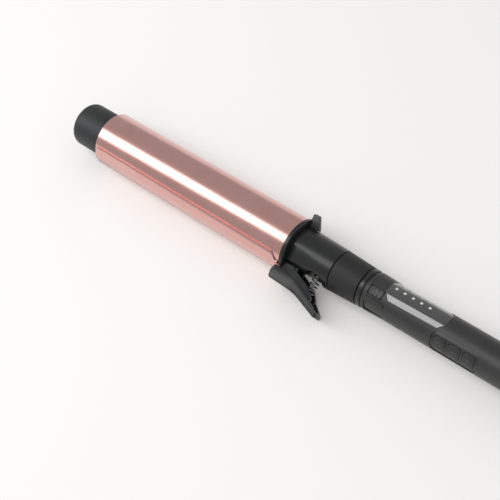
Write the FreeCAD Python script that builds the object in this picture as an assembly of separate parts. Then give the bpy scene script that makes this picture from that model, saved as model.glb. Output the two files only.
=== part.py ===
import FreeCAD, Part
import math
import os

# Curling iron with a plug-in heated barrel, a sprung hair clip and a handle with its controls.
# Millimetres. The iron is drawn along X: x = 0 is the front face of the stand flange, the cool
# tip points to -X and the handle to +X. Angles about the iron start at the clip's side (0) and
# run towards the controls (90). Every solid is then rolled and lifted to the way the iron lies.

# Driving dimensions: barrel and cool tip
barrel_radius = 19.0
barrel_length = 170.0
barrel_wall = 1.2
barrel_edge_round = 0.5
tip_inset = 3.0
tip_length = 28.5
tip_round = 5.0
tip_wall = 2.0

# Driving dimensions: stand flange, hinge housing and sleeve
flange_margin = 1.2
flange_thickness = 3.0
flange_rebate = 2.0
leg_angle = 165.0
leg_margin = 4.4
leg_thickness = 3.0
leg_top_length = 3.2
leg_base_length = 7.5
housing_front_radius = 15.6
housing_rear_radius = 14.5
housing_length = 32.3
housing_bore = 5.5
hinge_flat_height = 12.6
side_flat_angle = 68.0
side_flat_reach = 14.7
side_flat_length = 22.5
side_flat_round = 9.0
joint_groove = 0.4
sleeve_length = 20.6
sleeve_wall = 2.4

# Driving dimensions: clip, lever and hinge
clip_gap = 0.25
clip_thickness = 0.8
clip_half_angle = 52.6
neck_half_angle = 34.0
tongue_half_width = 5.0
clip_front_margin = 1.0
lever_half_width = 12.0
lever_tip_half_width = 6.8
lever_wall = 2.0
lever_rise = 6.4
lever_tip_rise = 13.6
lever_reach = 39.5
lever_flat_length = 23.2
cheek_inset = 1.6
hinge_x = 9.5
hinge_height = 10.3
pin_radius = 1.5
ear_radius = 3.2
ear_half_width = 7.3
ear_thickness = 2.0
spring_x = 25.0
spring_foot = 9.5
spring_coil_radius = 2.9
spring_wire_radius = 0.45
spring_turns = 7.0
spring_scoop_radius = 8.0

# Driving dimensions: handle
ring_length = 3.6
groove_length = 2.0
groove_depth = 1.0
handle_radius = 12.7
handle_flare = 0.6
handle_length = 138.0
handle_wall = 1.8
flare_length = 13.0
cap_length = 10.0
cap_taper = 3.5
swivel_radius = 6.0
swivel_reach = 7.0
cord_bore_radius = 3.6

# Driving dimensions: plug and socket between barrel unit and handle
plug_radius = 8.5
plug_length = 13.8
plug_flange = 4.0
contact_radius = 1.0
contact_length = 4.2
contact_circle = 4.6
contact_count = 3

# Driving dimensions: controls, each placed from the handle's front edge
window_angle = 126.5
window_start = 11.7
window_length = 44.1
window_half_width = 9.0
window_corner = 4.6
window_thickness = 1.2
led_count = 5
led_start = 16.3
led_pitch = 6.2
led_size = 1.6
keypad_angle = 47.5
keypad_start = 51.0
keypad_length = 33.0
keypad_half_width = 7.6
keypad_corner = 4.0
keypad_depth = 0.9
button_size = 8.4
button_half_width = 4.4
button_pitch = 10.4
button_travel = 0.6
slider_angle = 88.0
slider_start = 4.2
slider_length = 7.6
slider_half_width = 3.1
slider_travel = 2.5
ridge_count = 3
ridge_pitch = 2.6
rail_angle = 61.0
rail_length = 14.5
rail_half_width = 1.3

# Clearances
fit_gap = 0.1
seat_gap = 0.2
moving_gap = 0.3
running_gap = 0.05

# How the iron lies: rolled about its axis until the lever's tip meets the table
rest_roll = 109.0

# Places along the iron that follow from the sizes above
barrel_front = -barrel_length
tip_front = barrel_front - tip_length
barrel_bore = barrel_radius - barrel_wall
tip_radius = barrel_radius - tip_inset
flange_radius = barrel_radius + flange_margin
leg_reach = flange_radius + leg_margin
housing_start = flange_thickness
housing_end = housing_start + housing_length
sleeve_start = housing_end + joint_groove
sleeve_end = sleeve_start + sleeve_length
ring_start = sleeve_end + joint_groove
ring_end = ring_start + ring_length
handle_start = ring_end + groove_length
handle_end = handle_start + handle_length
cap_end = handle_end + cap_length
swivel_end = cap_end + swivel_reach
handle_bore = handle_radius - handle_wall
handle_front_radius = handle_radius + handle_flare
groove_radius = handle_front_radius - groove_depth
ring_radius = handle_front_radius + 0.05
sleeve_rear_radius = ring_radius + 0.05
cap_rear_radius = handle_radius - cap_taper
clip_inner = barrel_radius + clip_gap
clip_outer = clip_inner + clip_thickness
neck_inner = flange_radius + moving_gap
neck_outer = neck_inner + clip_thickness
lever_height = neck_outer + lever_rise
lever_tip_height = neck_outer + lever_tip_rise

vector = FreeCAD.Vector
origin = vector(0, 0, 0)
iron_axis = vector(-1, 0, 0)


def block(x0, x1, y0, y1, z0, z1):
    return Part.makeBox(x1 - x0, y1 - y0, z1 - z0, vector(x0, y0, z0))


def rod(x0, x1, radius, y=0.0, z=0.0):
    return Part.makeCylinder(radius, x1 - x0, vector(x0, y, z), vector(1, 0, 0))


def upright_rod(x, y, z0, z1, radius):
    return Part.makeCylinder(radius, z1 - z0, vector(x, y, z0), vector(0, 0, 1))


def cross_rod(x, z, y0, y1, radius):
    return Part.makeCylinder(radius, y1 - y0, vector(x, y0, z), vector(0, 1, 0))


def tube(x0, x1, outer, inner):
    return rod(x0, x1, outer).cut(rod(x0, x1, inner))


def turned(shape, angle):
    copy = shape.copy()
    copy.rotate(origin, iron_axis, angle)
    return copy


def rounded_wire(corners, to_point):
    # Closed outline of straight runs; each corner is (a, b, radius) and is rounded by an arc.
    count = len(corners)
    ends = []
    edges = []
    for index in range(count):
        here = to_point(corners[index][0], corners[index][1])
        radius = corners[index][2]
        before = to_point(corners[index - 1][0], corners[index - 1][1])
        after = to_point(corners[(index + 1) % count][0], corners[(index + 1) % count][1])
        if radius == 0:
            ends.append((here, here))
            continue
        back = (before - here).normalize()
        ahead = (after - here).normalize()
        half_turn = back.getAngle(ahead) / 2
        middle_way = (back + ahead).normalize()
        start = here + back * (radius / math.tan(half_turn))
        finish = here + ahead * (radius / math.tan(half_turn))
        crown = here + middle_way * (radius / math.sin(half_turn) - radius)
        edges.append(Part.Arc(start, crown, finish).toShape())
        ends.append((start, finish))
    for index in range(count):
        start = ends[index][1]
        finish = ends[(index + 1) % count][0]
        if start.distanceToPoint(finish) > 1e-6:
            edges.append(Part.makeLine(start, finish))
    return Part.Wire(Part.__sortEdges__(edges))


def side_point(x, z):
    return vector(x, 0, z)


def plan_point(x, y):
    return vector(x, y, 0)


def section_point(y, z):
    return vector(0, y, z)


def revolved(corners):
    # Full turn about the iron's axis of an outline given as (x, radius, corner rounding).
    face = Part.Face(rounded_wire(corners, side_point))
    return face.revolve(origin, iron_axis, 360)


def side_slab(corners, y0, y1):
    face = Part.Face(rounded_wire(corners, side_point))
    face.translate(vector(0, y0, 0))
    return face.extrude(vector(0, y1 - y0, 0))


def plan_slab(corners, z0, z1):
    face = Part.Face(rounded_wire(corners, plan_point))
    face.translate(vector(0, 0, z0))
    return face.extrude(vector(0, 0, z1 - z0))


def sector(x0, x1, inner, outer, angle, half_angle):
    corners = [(x0, inner, 0), (x1, inner, 0), (x1, outer, 0), (x0, outer, 0)]
    face = Part.Face(rounded_wire(corners, side_point))
    face.rotate(origin, iron_axis, angle - half_angle)
    return face.revolve(origin, iron_axis, 2 * half_angle)


def rounded_prism(x0, x1, half_width, corner, angle):
    # Rounded rectangle pushed straight out from the axis in the direction of the angle.
    corners = [(x0, -half_width, corner), (x1, -half_width, corner),
               (x1, half_width, corner), (x0, half_width, corner)]
    return turned(plan_slab(corners, 0, 2 * flange_radius), angle)


def mitred_prism(x0, x1, half_width, corner, angle):
    x_low, x_high = x0 + corner, x1 - corner
    near, far = half_width - corner, half_width
    outline = [(x_low, -far, 0), (x_high, -far, 0), (x1, -near, 0), (x1, near, 0),
               (x_high, far, 0), (x_low, far, 0), (x0, near, 0), (x0, -near, 0)]
    return turned(plan_slab(outline, 0, 2 * flange_radius), angle)


def coil(radius, wire_radius, length, turns):
    # Round-wire compression spring standing on the XY plane along Z.
    pitch = (length - 2 * wire_radius) / turns
    helix = Part.makeHelix(pitch, pitch * turns, radius)
    circle = Part.Circle(vector(radius, 0, 0), vector(0, 1, 0), wire_radius).toShape()
    spring = Part.Wire(helix.Edges).makePipeShell([Part.Wire([circle])], True, True)
    spring.translate(vector(0, 0, wire_radius))
    return spring


# Barrel unit: cool tip, heated barrel and what is inside it

def tip_cap():
    inner = tip_radius - tip_wall
    shell = revolved([(barrel_front, 0, 0), (barrel_front, tip_radius, 0.3),
                      (tip_front, tip_radius, tip_round), (tip_front, 0, 0)])
    hollow = rod(tip_front + tip_wall, barrel_front, inner)
    post = rod(tip_front + tip_wall / 2, barrel_front - tip_boss_length - seat_gap, tip_post_radius)
    screw_hole = rod(tip_front + 2 * tip_wall, barrel_front, screw_radius + fit_gap)
    return shell.cut(hollow).fuse(post).cut(screw_hole)


tip_boss_length = 8.0
tip_post_radius = 3.5
screw_radius = 1.4
screw_head_radius = 2.6
screw_head_height = 1.6
insulator_depth = 6.0


def tip_insulator():
    disc = rod(barrel_front, barrel_front + insulator_depth, barrel_bore - fit_gap)
    boss = rod(barrel_front - tip_boss_length, barrel_front, tip_radius - tip_wall - fit_gap)
    passage = rod(barrel_front - tip_boss_length, barrel_front + insulator_depth, screw_radius + fit_gap)
    counterbore = rod(barrel_front, barrel_front + insulator_depth, screw_head_radius + fit_gap)
    return disc.fuse(boss).cut(passage).cut(counterbore)


def tip_screw():
    shank = rod(tip_front + 3 * tip_wall, barrel_front + fit_gap, screw_radius)
    head = rod(barrel_front, barrel_front + screw_head_height, screw_head_radius)
    slot = block(barrel_front + screw_head_height / 2, barrel_front + screw_head_height, -0.4, 0.4, -2, 2)
    cross = turned(slot, 90)
    return shank.fuse(head).cut(slot).cut(cross)


def barrel_tube():
    rear = flange_rebate
    return revolved([(barrel_front, barrel_bore, 0), (rear, barrel_bore, 0), (rear, barrel_radius, 0),
                     (barrel_front, barrel_radius, barrel_edge_round)])


heater_front = barrel_front + 15.0
heater_rear = -20.0
heater_half_width = 12.0
heater_half_height = 1.5
wrap_thickness = 0.3
spreader_radius = barrel_bore - moving_gap
spreader_wall = 2.0
spreader_web_start = heater_half_height + wrap_thickness + seat_gap


def heat_spreader(angle):
    x0, x1 = heater_front - 3.0, heater_rear + 3.0
    shell = tube(x0, x1, spreader_radius, spreader_radius - spreader_wall)
    above = block(x0, x1, -barrel_radius, barrel_radius, spreader_web_start, barrel_radius)
    web = block(x0, x1, -barrel_radius, barrel_radius, spreader_web_start, spreader_web_start + spreader_wall)
    half = shell.common(above).fuse(web.common(rod(x0, x1, spreader_radius - spreader_wall / 2)))
    return turned(half, angle)


def heater_plate():
    return block(heater_front, heater_rear, -heater_half_width, heater_half_width,
                 -heater_half_height, heater_half_height)


def heater_wrap():
    grow = wrap_thickness
    wide, high = heater_half_width + grow, heater_half_height + grow
    return block(heater_front, heater_rear, -wide, wide, -high, high).cut(heater_plate())


def heater_leads():
    reach = plug_flange_start + 2.0
    start = heater_rear + seat_gap
    return Part.makeCompound([rod(start, reach, lead_radius, y) for y in (-lead_half_gap, lead_half_gap)])


lead_radius = 0.9
lead_half_gap = 3.5
thermistor_radius = 1.2
fuse_radius = 1.9
web_top = spreader_web_start + spreader_wall


def thermistor():
    length = 10.0
    start = -60.0
    bead = rod(start, start + length, thermistor_radius, 0, web_top + thermistor_radius + fit_gap)
    return bead


def thermal_fuse():
    length = 12.0
    start = -100.0
    body = rod(start, start + length, fuse_radius, 0, web_top + fuse_radius + fit_gap)
    stems = rod(start - 5.0, start + length + 5.0, 0.4, 0, web_top + fuse_radius + fit_gap)
    return body.fuse(stems)


base_depth = 12.0
base_neck_radius = 12.0
pocket_front = hinge_x - ear_radius - 1.2
pocket_rear = hinge_x + ear_radius + 2.0
base_neck_length = pocket_front - moving_gap
base_bore = 7.0
base_screw_circle = 10.0
base_screw_radius = 1.0
base_screw_angles = (90.0, 180.0, 270.0)
base_screw_reach = 12.5


def base_insulator():
    disc = rod(-base_depth, flange_rebate, barrel_bore - fit_gap)
    neck = rod(flange_rebate - fit_gap, base_neck_length, base_neck_radius)
    shape = disc.fuse(neck).cut(rod(-base_depth, base_neck_length, base_bore))
    for angle in base_screw_angles:
        hole = rod(-base_depth, base_neck_length, base_screw_radius + fit_gap, 0, base_screw_circle)
        shape = shape.cut(turned(hole, angle))
    return shape


def base_screws():
    shank = rod(-base_depth - 0.5, base_screw_reach, base_screw_radius, 0, base_screw_circle)
    head = rod(-base_depth - 1.5, -base_depth, 2 * base_screw_radius, 0, base_screw_circle)
    screw = shank.fuse(head)
    return Part.makeCompound([turned(screw, angle) for angle in base_screw_angles])


# Barrel unit: stand flange and hinge housing

def stand_leg():
    low = housing_front_radius + seat_gap
    outline = [(flange_rebate, low, 0), (flange_rebate, leg_reach, 0.8),
               (flange_thickness + leg_top_length, leg_reach, 1.2),
               (flange_thickness + leg_base_length, low, 0)]
    return turned(side_slab(outline, -leg_thickness / 2, leg_thickness / 2), leg_angle)


def stand_flange():
    disc = revolved([(0, 0, 0), (flange_thickness, 0, 0), (flange_thickness, flange_radius, 0.9),
                     (0, flange_radius, 0.7)])
    disc = disc.cut(rod(0, flange_rebate, barrel_radius + fit_gap))
    disc = disc.cut(rod(0, flange_thickness, base_neck_radius + 1.2 + fit_gap))
    return disc.fuse(stand_leg())


pin_reach = 9.2


def ear_pocket():
    half = ear_half_width + moving_gap
    return block(pocket_front, pocket_rear, -half, half,
                 hinge_height - ear_radius - moving_gap, 2 * flange_radius)


def side_flat(side):
    # Flat on the round housing beside the hinge, ending in a curve.
    far = housing_start + side_flat_length
    deep = side_flat_round
    outline = [(housing_start, -2 * deep, 0), (far, -2 * deep, 0), (far, deep, deep),
               (housing_start, deep, 0)]
    cutter = plan_slab(outline, side_flat_reach, 2 * flange_radius)
    return turned(cutter, side * side_flat_angle)


post_radius = spring_coil_radius - spring_wire_radius - moving_gap


def hinge_housing():
    body = revolved([(housing_start, 0, 0), (housing_end, 0, 0), (housing_end, housing_rear_radius, 0.5),
                     (housing_start, housing_front_radius, 0)])
    front_spigot = rod(flange_rebate, housing_start, base_neck_radius + 1.2)
    rear_spigot = rod(housing_end, sleeve_start + 4.0, housing_rear_radius - sleeve_wall - fit_gap)
    over_hinge = block(housing_start, spring_x, -flange_radius, flange_radius,
                       hinge_flat_height, flange_radius)
    shape = body.cut(over_hinge).cut(side_flat(1)).cut(side_flat(-1)).fuse(front_spigot).fuse(rear_spigot)
    scoop = cross_rod(spring_x, spring_foot + spring_scoop_radius, -flange_radius, flange_radius,
                      spring_scoop_radius)
    well = upright_rod(spring_x, 0, spring_foot, 2 * flange_radius, spring_coil_radius + 1.2)
    shape = shape.cut(scoop).cut(well).cut(ear_pocket())
    shape = shape.fuse(upright_rod(spring_x, 0, spring_foot - 0.5, spring_foot + 2.5, post_radius))
    shape = shape.cut(rod(0, sleeve_start + 4.0, housing_bore))
    shape = shape.cut(rod(0, base_neck_length + fit_gap, base_neck_radius + fit_gap))
    for angle in base_screw_angles:
        hole = rod(0, base_screw_reach + 1.0, base_screw_radius + fit_gap, 0, base_screw_circle)
        shape = shape.cut(turned(hole, angle))
    pin_hole = cross_rod(hinge_x, hinge_height, -flange_radius, pin_reach + seat_gap, pin_radius + fit_gap)
    return shape.cut(pin_hole)


def hinge_pin():
    return cross_rod(hinge_x, hinge_height, -pin_reach, pin_reach, pin_radius)


def clip_spring():
    length = lever_crown(spring_x) - lever_wall - spring_foot - 2 * seat_gap
    spring = coil(spring_coil_radius, spring_wire_radius, length, spring_turns)
    spring.translate(vector(spring_x, 0, spring_foot + seat_gap))
    return spring


# Barrel unit: sleeve and plug

plug_flange_start = sleeve_start + 9.0
plug_front = plug_flange_start + plug_flange
plug_end = ring_start + plug_length
shoulder_bore = plug_radius + seat_gap
plug_screw_circle = 10.2
plug_screw_radius = 0.8


def sleeve_inner():
    return housing_rear_radius - sleeve_wall


def coupling_sleeve():
    front_radius = housing_rear_radius - 0.2
    body = revolved([(sleeve_start, 0, 0), (sleeve_end, 0, 0), (sleeve_end, sleeve_rear_radius, 0.5),
                     (sleeve_start, front_radius, 0.5)])
    body = body.cut(rod(sleeve_start, plug_front, sleeve_inner()))
    body = body.cut(rod(sleeve_start, sleeve_end, shoulder_bore))
    for angle in (90, 270):
        hole = rod(plug_flange_start, plug_front + 3.5, plug_screw_radius + fit_gap, 0, plug_screw_circle)
        body = body.cut(turned(hole, angle))
    return body


def contact_places():
    places = []
    for index in range(contact_count):
        turn = math.radians(index * 360 / contact_count)
        places.append((contact_circle * math.sin(turn), contact_circle * math.cos(turn)))
    return places


def head_plug():
    flange = rod(plug_flange_start, plug_front, sleeve_inner() - fit_gap)
    body = revolved([(plug_front, 0, 0), (plug_end, 0, 0), (plug_end, plug_radius, 0.8),
                     (plug_front, plug_radius, 0)])
    shape = flange.fuse(body).cut(rod(plug_flange_start, plug_end - 3.5, plug_radius - 2.0))
    for y, z in contact_places():
        shape = shape.cut(rod(plug_end - 4.0, plug_end, contact_radius + fit_gap / 2, y, z))
    for angle in (90, 270):
        hole = rod(plug_flange_start, plug_front, plug_screw_radius + fit_gap, 0, plug_screw_circle)
        shape = shape.cut(turned(hole, angle))
    return shape


def plug_contacts():
    pins = []
    for y, z in contact_places():
        pins.append(rod(plug_end - 5.0, plug_end + contact_length, contact_radius, y, z))
    return Part.makeCompound(pins)


def plug_screws():
    shank = rod(plug_flange_start - 0.5, plug_front + 3.0, plug_screw_radius, 0, plug_screw_circle)
    head = rod(plug_flange_start - 1.2, plug_flange_start, 1.4, 0, plug_screw_circle)
    screw = shank.fuse(head)
    return Part.makeCompound([turned(screw, angle) for angle in (90, 270)])


# Clip: plate, thumb lever and their screws

clip_step = -2.2
taper_length = 6.0
neck_end = flange_thickness - 0.4
tongue_end = hinge_x + 6.0
tongue_half_angle = math.degrees(math.asin(tongue_half_width / neck_outer))
clip_screw_radius = 1.2
clip_screw_places = (hinge_x - 2.5, hinge_x + 4.0)


def clip_plate():
    front = barrel_front + clip_front_margin
    step = clip_step
    plate = sector(front, step + clip_thickness, clip_inner, clip_outer, 0, clip_half_angle)
    wide = clip_outer * math.sin(math.radians(clip_half_angle)) + 1
    narrow = clip_outer * math.sin(math.radians(neck_half_angle))
    outline = plan_slab([(front, -wide, 6), (step - taper_length, -wide, 2), (step, -narrow, 2.5),
                         (flange_radius, -narrow, 0), (flange_radius, narrow, 0), (step, narrow, 2.5),
                         (step - taper_length, wide, 2), (front, wide, 6)], 0, 2 * flange_radius)
    plate = plate.common(outline)
    riser = sector(step, step + clip_thickness, clip_inner, neck_outer, 0, neck_half_angle)
    neck = sector(step, neck_end, neck_inner, neck_outer, 0, neck_half_angle)
    tongue = sector(neck_end - 0.5, tongue_end, neck_inner, neck_outer, 0, tongue_half_angle)
    shape = plate.fuse(riser).fuse(neck).fuse(tongue)
    for x in clip_screw_places:
        shape = shape.cut(upright_rod(x, 0, 0, 2 * flange_radius, clip_screw_radius + fit_gap))
    return shape.removeSplitter()


lever_front = -3.2
lever_flat_end = lever_front + lever_flat_length
lever_run = lever_reach - lever_flat_end
lever_slope = (lever_tip_height - lever_height) / lever_run
lever_nose_fall = 0.7
skirt_bottom = math.sqrt(neck_outer ** 2 - lever_half_width ** 2) + moving_gap


def lever_crown(x):
    # Height of the lever's top line: flat over the hinge, then rising to the thumb's end.
    return lever_height + max(0.0, x - lever_flat_end) * lever_slope


def lever_outline():
    rise_start = lever_flat_end + 0.26 * lever_run
    rise_end = lever_flat_end + 0.57 * lever_run
    return [(lever_front + 2.0, skirt_bottom, 0), (lever_front, skirt_bottom + 4.1, 1.4),
            (lever_front + 2.4, lever_height - lever_nose_fall, 2.2), (lever_flat_end, lever_height, 26),
            (lever_reach - 0.6, lever_crown(lever_reach - 0.6), 0.9),
            (lever_reach, lever_tip_height - 2.8, 1.0), (rise_end, lever_crown(rise_end) - 5.4, 8),
            (rise_start, lever_crown(rise_start) - 6.3, 9),
            (lever_flat_end - 4.0, skirt_bottom + 2.4, 9), (neck_end, skirt_bottom, 0)]


def lever_hollow_outline():
    front = lever_front + lever_wall
    end = lever_reach - lever_wall
    return [(front, 0, 0), (front, lever_height - lever_nose_fall - lever_wall, 0.8),
            (lever_flat_end, lever_height - lever_wall, 24), (end, lever_crown(end) - lever_wall, 0.5),
            (end, 0, 0)]


def lever_plan(inset):
    wide = lever_half_width - inset
    narrow = lever_tip_half_width - inset
    front = lever_front + inset
    end = lever_reach - inset
    middle = lever_flat_end - 5.0
    return [(front, -wide + 2, 2), (front + 2.5, -wide, 3), (middle, -wide, 14), (end - 6, -narrow, 14),
            (end, -narrow + 1.5, 2), (end, narrow - 1.5, 2), (end - 6, narrow, 14), (middle, wide, 14),
            (front + 2.5, wide, 3), (front, wide - 2, 2)]


def lever_cheeks():
    # Side walls below the lever's shoulder; their lower edge clears the housing over the whole swing.
    foot = hinge_flat_height + 0.5
    front = flange_thickness + 0.4
    rear = lever_flat_end + 0.54 * lever_run
    half_roof = lever_wall / 2
    outline = [(front, foot, 0.5), (hinge_x, foot, 6), (lever_flat_end - 3.0, foot + 2.9, 9),
               (lever_flat_end + 0.26 * lever_run, foot + 6.5, 12), (rear, lever_crown(rear) - 6.6, 1.5),
               (rear, lever_crown(rear) - half_roof, 0), (lever_flat_end, lever_height - half_roof, 0),
               (front, lever_height - lever_nose_fall - half_roof, 0)]
    walls = side_slab(outline, -lever_half_width, lever_half_width)
    walls = walls.common(plan_slab(lever_plan(cheek_inset), 0, 2 * lever_tip_height))
    return walls.cut(plan_slab(lever_plan(cheek_inset + lever_wall), 0, 2 * lever_tip_height))


def hinge_ear(y0):
    top = lever_height - lever_wall / 2
    low = hinge_height - ear_radius
    outline = [(hinge_x - ear_radius, top, 0), (hinge_x - ear_radius, low, ear_radius - 0.02),
               (hinge_x + ear_radius, low, ear_radius - 0.02), (hinge_x + ear_radius, top, 0)]
    return side_slab(outline, y0, y0 + ear_thickness)


def thumb_lever():
    outer = side_slab(lever_outline(), -lever_half_width, lever_half_width)
    outer = outer.common(plan_slab(lever_plan(0.0), 0, 2 * lever_tip_height))
    hollow = side_slab(lever_hollow_outline(), -lever_half_width, lever_half_width)
    hollow = hollow.common(plan_slab(lever_plan(lever_wall), 0, 2 * lever_tip_height))
    shape = outer.cut(hollow).fuse(lever_cheeks())
    for y0 in (-ear_half_width, ear_half_width - ear_thickness):
        shape = shape.fuse(hinge_ear(y0))
    roof = lever_height - lever_wall
    for x in clip_screw_places:
        shape = shape.fuse(upright_rod(x, 0, neck_outer + fit_gap, roof + 0.3, 2.8))
    for x in clip_screw_places:
        shape = shape.cut(upright_rod(x, 0, 0, roof - 0.6, clip_screw_radius + fit_gap))
    shape = shape.cut(rod(lever_front - 1, neck_end + 0.6, neck_outer + moving_gap))
    pin_hole = cross_rod(hinge_x, hinge_height, -flange_radius, flange_radius, pin_radius + running_gap)
    return shape.cut(pin_hole)


def clip_screws():
    screws = []
    for x in clip_screw_places:
        shank = upright_rod(x, 0, neck_inner - 0.5, lever_height - lever_wall - 0.8, clip_screw_radius)
        head = upright_rod(x, 0, neck_inner - 1.3, neck_inner - 0.15, 2.2)
        screws.append(shank.fuse(head))
    return Part.makeCompound(screws)


# Handle: ring, shells and end

spigot_wall = 1.1
spigot_radius = ring_radius - 2.1
shell_spigot_bore = spigot_radius - spigot_wall
window_x = handle_start + window_start
keypad_x = handle_start + keypad_start
slider_x = handle_start + slider_start
window_recess = handle_radius - window_thickness - fit_gap
keypad_floor = handle_radius - keypad_depth
bezel_thickness = 1.0
rail_x = handle_start + 0.6
post_radius_handle = 2.4
shell_screw_radius = 1.0
shell_screw_head = 2.0
shell_screw_depth = 3.0
shell_screw_height = 7.4
screw_places = ((handle_start + 23.0, shell_screw_height),
                (window_x + window_length + 2.9, -shell_screw_height),
                (handle_end - 11.0, shell_screw_height), (handle_end - 11.0, -shell_screw_height))


def front_ring():
    return revolved([(ring_start, spigot_radius + fit_gap, 0), (ring_end, spigot_radius + fit_gap, 0),
                     (ring_end, ring_radius, 0.9), (ring_start, ring_radius, 0.9)])


def handle_body():
    flare_end = handle_start + flare_length
    outer = revolved([(ring_start + seat_gap, 0, 0), (handle_end, 0, 0), (handle_end, handle_radius, 0.3),
                      (flare_end, handle_radius, 20), (handle_start, handle_front_radius, 0.6),
                      (handle_start, groove_radius, 0), (ring_end + fit_gap, groove_radius, 0),
                      (ring_end + fit_gap, spigot_radius, 0), (ring_start + seat_gap, spigot_radius, 0)])
    inner = revolved([(ring_start, 0, 0), (handle_end, 0, 0), (handle_end, handle_bore, 0),
                      (handle_start + 1.0, handle_bore, 0), (handle_start, shell_spigot_bore, 0),
                      (ring_start, shell_spigot_bore, 0)])
    return outer.cut(inner)


def screw_post(x, z, y0, y1):
    post = cross_rod(x, z, y0, y1, post_radius_handle)
    return post.common(rod(handle_start, handle_end, handle_radius - 0.5))


def handle_shell_plain():
    half = block(ring_start, handle_end, -2 * handle_radius, 0, -2 * handle_radius, 2 * handle_radius)
    shape = handle_body().common(half)
    for x, z in screw_places:
        shape = shape.fuse(screw_post(x, z, -handle_radius, -fit_gap))
        head_floor = -handle_radius + shell_screw_depth + 2.2
        shape = shape.cut(cross_rod(x, z, -handle_radius, head_floor, shell_screw_head + fit_gap))
        shape = shape.cut(cross_rod(x, z, -handle_radius, 0, shell_screw_radius + fit_gap))
    return shape


def rail():
    outer = handle_radius + 0.55
    bar = rounded_prism(rail_x, rail_x + rail_length, rail_half_width, 0.9, rail_angle)
    return bar.common(tube(rail_x, rail_x + rail_length, outer + 0.3, handle_bore + 0.6))


def side_recess():
    start = rail_x + 0.6
    pad = rounded_prism(start, start + rail_length, 4.2, 1.5, rail_angle - 28.0)
    return pad.common(tube(start, start + rail_length, 2 * handle_radius, handle_radius - 0.35))


def slider_recess():
    x0 = slider_x - slider_travel - moving_gap
    x1 = slider_x + slider_length + moving_gap
    area = rounded_prism(x0, x1, slider_half_width + moving_gap, 1.0, slider_angle)
    shallow = area.common(tube(x0, x1, 2 * handle_radius, slider_floor))
    slot = rounded_prism(slider_x + 2.0 - slider_travel - moving_gap, slider_x + 6.0 + moving_gap,
                         1.5 + moving_gap, 0.6, slider_angle)
    return shallow.fuse(slot)


slider_floor = handle_radius - 0.5


def handle_shell_controls():
    half = block(ring_start, handle_end, 0, 2 * handle_radius, -2 * handle_radius, 2 * handle_radius)
    shape = handle_body().common(half).fuse(rail())
    for x, z in screw_places:
        shape = shape.fuse(screw_post(x, z, fit_gap, handle_radius))
        shape = shape.cut(cross_rod(x, z, 0, 5.2, shell_screw_radius + fit_gap))
    grow = fit_gap
    window = mitred_prism(window_x - grow, window_x + window_length + grow, window_half_width + grow,
                          window_corner, window_angle)
    shape = shape.cut(window.common(tube(window_x - 1, window_x + window_length + 1, 2 * handle_radius,
                                         window_recess)))
    light_way = mitred_prism(window_x + 1.2, window_x + window_length - 1.2, window_half_width - 2.2,
                             window_corner, window_angle)
    shape = shape.cut(light_way)
    pad = rounded_prism(keypad_x, keypad_x + keypad_length, keypad_half_width, keypad_corner, keypad_angle)
    shape = shape.cut(pad.common(tube(keypad_x, keypad_x + keypad_length, 2 * handle_radius, keypad_floor)))
    through = rounded_prism(keypad_x + 1.4, keypad_x + keypad_length - 1.4, keypad_half_width - 1.4,
                            keypad_corner - 1.0, keypad_angle)
    return shape.cut(through).cut(slider_recess()).cut(side_recess())


def handle_screws():
    screws = []
    for x, z in screw_places:
        head_floor = -handle_radius + shell_screw_depth + 2.2
        shank = cross_rod(x, z, head_floor - 0.5, 4.8, shell_screw_radius)
        head = cross_rod(x, z, head_floor - 1.4, head_floor, shell_screw_head)
        slot = block(x - 1.3, x + 1.3, head_floor - 1.5, head_floor - 0.7, z - 0.25, z + 0.25)
        cross = block(x - 0.25, x + 0.25, head_floor - 1.5, head_floor - 0.7, z - 1.3, z + 1.3)
        screws.append(shank.fuse(head).cut(slot).cut(cross))
    return Part.makeCompound(screws)


cap_wall = 6.0
cap_spigot = 6.0
collar_bore = 9.0
swivel_flange_radius = 8.4
swivel_flange = 3.0
swivel_front = cap_end - cap_wall - moving_gap - swivel_flange - 2.0


def end_cap():
    outer = revolved([(handle_end - cap_spigot, 0, 0), (cap_end, 0, 0), (cap_end, cap_rear_radius, 2.5),
                      (handle_end + 3.5, handle_radius, 6), (handle_end, handle_radius, 0.3),
                      (handle_end, handle_bore - fit_gap, 0),
                      (handle_end - cap_spigot, handle_bore - fit_gap, 0)])
    outer = outer.cut(rod(handle_end - cap_spigot, cap_end - cap_wall, collar_bore))
    return outer.cut(rod(handle_end, cap_end, swivel_radius + running_gap))


def swivel_gland():
    shaft = revolved([(swivel_front, 0, 0), (swivel_end, 0, 0), (swivel_end, swivel_radius - 0.9, 0.8),
                      (cap_end + 1.0, swivel_radius, 3), (swivel_front, swivel_radius, 0)])
    flange_start = cap_end - cap_wall - moving_gap - swivel_flange
    flange = rod(flange_start, flange_start + swivel_flange, swivel_flange_radius)
    return shaft.fuse(flange).cut(rod(swivel_front, swivel_end, cord_bore_radius))


def swivel_washer():
    rear = cap_end - cap_wall - moving_gap - swivel_flange - moving_gap
    return tube(rear - 1.4, rear, collar_bore - fit_gap, swivel_radius + moving_gap)


# Handle: socket, boards and controls

socket_outer = shell_spigot_bore - fit_gap
socket_end = plug_end + seat_gap + contact_length + 0.6
slider_flat = plug_radius + moving_gap + 0.7


def socket_body():
    start = handle_start - groove_length
    cup = rod(start, plug_end + moving_gap, plug_radius + moving_gap)
    shape = rod(start, socket_end, socket_outer).cut(cup)
    for y, z in contact_places():
        shape = shape.cut(rod(plug_end, socket_end, contact_radius + 0.9, y, z))
    flat = block(handle_start, socket_end, -socket_outer, socket_outer, slider_flat, 2 * socket_outer)
    return shape.cut(turned(flat, slider_angle))


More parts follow.
